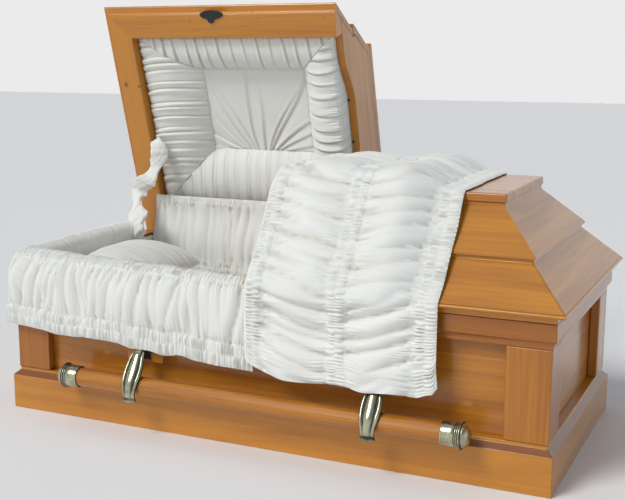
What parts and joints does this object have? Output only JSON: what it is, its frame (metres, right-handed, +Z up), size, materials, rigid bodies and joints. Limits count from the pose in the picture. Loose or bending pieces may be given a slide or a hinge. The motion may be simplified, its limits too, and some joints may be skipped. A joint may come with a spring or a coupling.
{
  "type": "half-couch wooden casket",
  "caption": "Panelled wooden casket with two stepped hinged lids, the head lid open, bar handles on both sides and a shirred cloth lining, skirt and throw.",
  "frame": {"origin": "middle of the underside, on the bottom board", "axes": "+X runs from the head end to the foot end, -Y faces the front, +Z is up"},
  "size_m": [1.478, 0.9473, 1.0673],
  "materials": {
    "stained_wood": "honey stained softwood under a satin lacquer, fine upright and lengthwise grain, a few knots",
    "antique_brass": "antique brass, darkened in the grooves, rubbed bright on the edges",
    "hinge_steel": "plated hinge steel",
    "black_plate": "blue-black painted plate",
    "crepe_cloth": "off-white crepe, shirred and pleated"
  },
  "bodies": {
    "casket_body": {"bottom_board": "stained_wood", "front_board": "stained_wood", "back_board": "stained_wood", "head_board": "stained_wood", "foot_board": "stained_wood", "corner_post_front_head": "stained_wood", "corner_post_front_foot": "stained_wood", "corner_post_back_head": "stained_wood", "corner_post_back_foot": "stained_wood", "base_rail_front": "stained_wood", "base_rail_back": "stained_wood", "base_rail_head": "stained_wood", "base_rail_foot": "stained_wood", "cornice_front": "stained_wood", "cornice_back": "stained_wood", "cornice_head": "stained_wood", "cornice_foot": "stained_wood", "front_handle_bar": "stained_wood", "front_handle_block_head": "stained_wood", "front_handle_block_foot": "stained_wood", "back_handle_bar": "stained_wood", "back_handle_block_head": "stained_wood", "back_handle_block_foot": "stained_wood", "front_handle_cap_head": "antique_brass", "front_handle_cap_foot": "antique_brass", "front_handle_arm_head": "antique_brass", "front_handle_arm_foot": "antique_brass", "back_handle_cap_head": "antique_brass", "back_handle_cap_foot": "antique_brass", "back_handle_arm_head": "antique_brass", "back_handle_arm_foot": "antique_brass", "head_hinge_body_leaf": "hinge_steel", "foot_hinge_body_leaf": "hinge_steel", "mattress": "crepe_cloth", "pillow": "crepe_cloth", "body_lining": "crepe_cloth", "rim_skirt": "crepe_cloth", "back_apron": "crepe_cloth", "support_sleeve": "crepe_cloth"},
    "head_lid": {"head_lid_rim": "stained_wood", "head_lid_lower_slope": "stained_wood", "head_lid_upper_slope": "stained_wood", "head_lid_top_board": "stained_wood", "head_lid_split_board": "stained_wood", "head_hinge_lid_leaf": "hinge_steel", "catch_plate": "black_plate", "lid_roll_front": "crepe_cloth", "lid_roll_foot": "crepe_cloth", "lid_roll_back": "crepe_cloth", "lid_roll_head": "crepe_cloth", "lid_centre_panel": "crepe_cloth"},
    "foot_lid": {"foot_lid_rim": "stained_wood", "foot_lid_lower_slope": "stained_wood", "foot_lid_upper_slope": "stained_wood", "foot_lid_top_board": "stained_wood", "foot_lid_split_board": "stained_wood", "foot_hinge_lid_leaf": "hinge_steel", "foot_lid_lining": "crepe_cloth", "throw": "crepe_cloth"}
  },
  "joints": [
    {"name": "head_lid_hinge", "type": "hinge", "parent": "casket_body", "child": "head_lid", "pos_m": [0, 0.346, 0.3835], "axis": [-1, 0, 0], "range_deg": [-68.75, 0], "deforming": ["back_apron", "support_sleeve", "rim_skirt"]},
    {"name": "foot_lid_hinge", "type": "hinge", "parent": "casket_body", "child": "foot_lid", "pos_m": [0, 0.346, 0.3835], "axis": [-1, 0, 0], "range_deg": [0, 73.75]}
  ]
}
